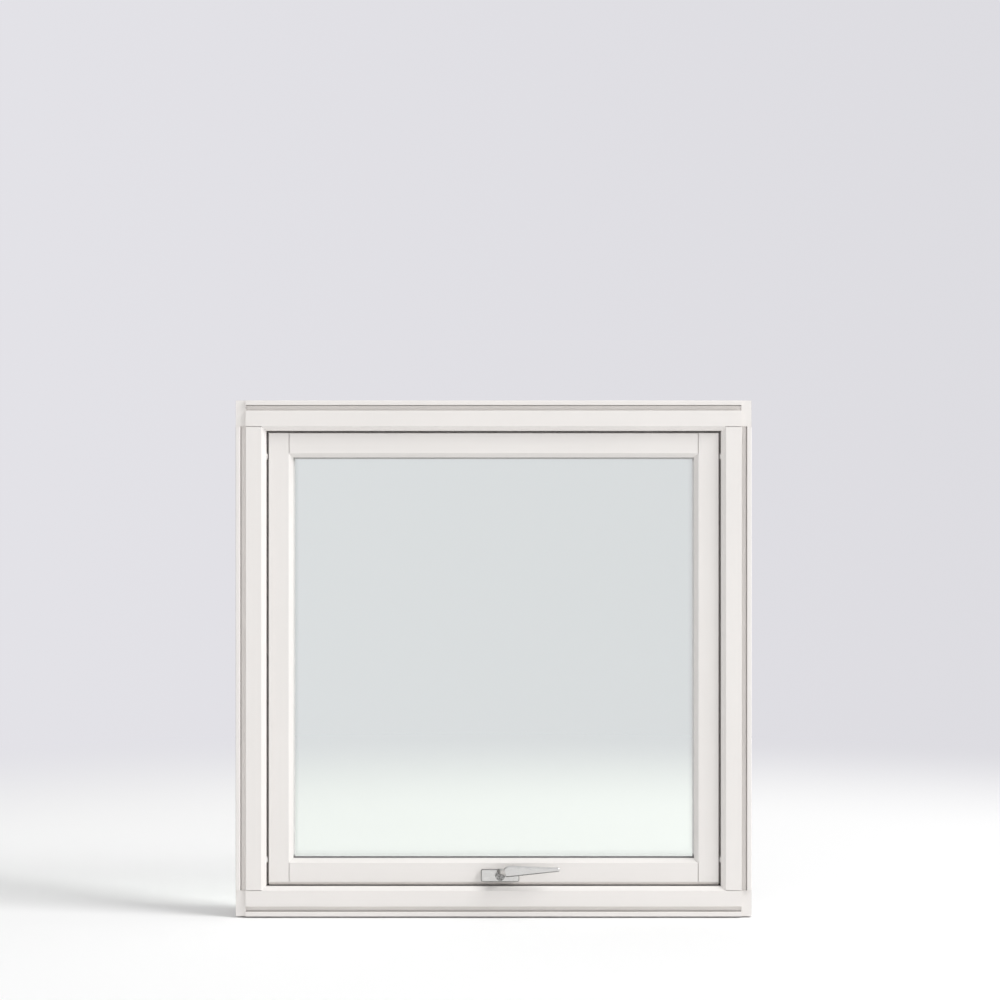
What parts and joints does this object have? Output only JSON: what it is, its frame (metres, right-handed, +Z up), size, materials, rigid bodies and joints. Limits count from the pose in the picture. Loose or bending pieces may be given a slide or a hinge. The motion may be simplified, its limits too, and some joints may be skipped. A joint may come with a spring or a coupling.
{
  "type": "top hung awning window",
  "caption": "White timber awning window: square grooved frame, top hung sash with bevelled inner edges and sealed glazing, satin lever handle on the bottom rail.",
  "frame": {"origin": "middle of the sill's underside, at half the frame's depth", "axes": "+Z up, +X right as seen from the room, +Y outdoors"},
  "size_m": [0.99, 0.1325, 0.99],
  "materials": {
    "white_paint": "white satin paint on timber",
    "cap_plastic": "white moulded plastic",
    "seal_rubber": "black seal strip",
    "gasket_rubber": "light grey gasket",
    "glass": "clear float glass",
    "spacer_plastic": "dark warm edge spacer",
    "hinge_steel": "zinc plated steel",
    "satin_metal": "satin metal"
  },
  "bodies": {
    "window": {"frame_head": "white_paint", "frame_sill": "white_paint", "frame_jamb_left": "white_paint", "frame_jamb_right": "white_paint", "sash_stile_left": "white_paint", "sash_stile_right": "white_paint", "sash_top_rail": "white_paint", "sash_bottom_rail": "white_paint", "bead_top": "white_paint", "bead_bottom": "white_paint", "bead_left": "white_paint", "bead_right": "white_paint", "screw_cap_left_lower": "cap_plastic", "screw_cap_left_upper": "cap_plastic", "screw_cap_right_lower": "cap_plastic", "screw_cap_right_upper": "cap_plastic", "weather_seal": "seal_rubber", "glazing_gasket_room": "gasket_rubber", "glazing_gasket_outer": "gasket_rubber", "pane_inner": "glass", "pane_middle": "glass", "pane_outer": "glass", "spacer_inner": "spacer_plastic", "spacer_outer": "spacer_plastic", "hinge_frame_leaf_left": "hinge_steel", "hinge_sash_leaf_left": "hinge_steel", "hinge_pin_left": "hinge_steel", "hinge_frame_leaf_right": "hinge_steel", "hinge_sash_leaf_right": "hinge_steel", "hinge_pin_right": "hinge_steel", "handle_plate": "satin_metal"},
    "handle": {"handle_lever": "satin_metal"}
  },
  "joints": [
    {"name": "handle_turn", "type": "hinge", "parent": "window", "child": "handle", "pos_m": [0.0125, -0.0525, 0.0783], "axis": [0, -1, 0], "range_deg": [0, 90]}
  ]
}
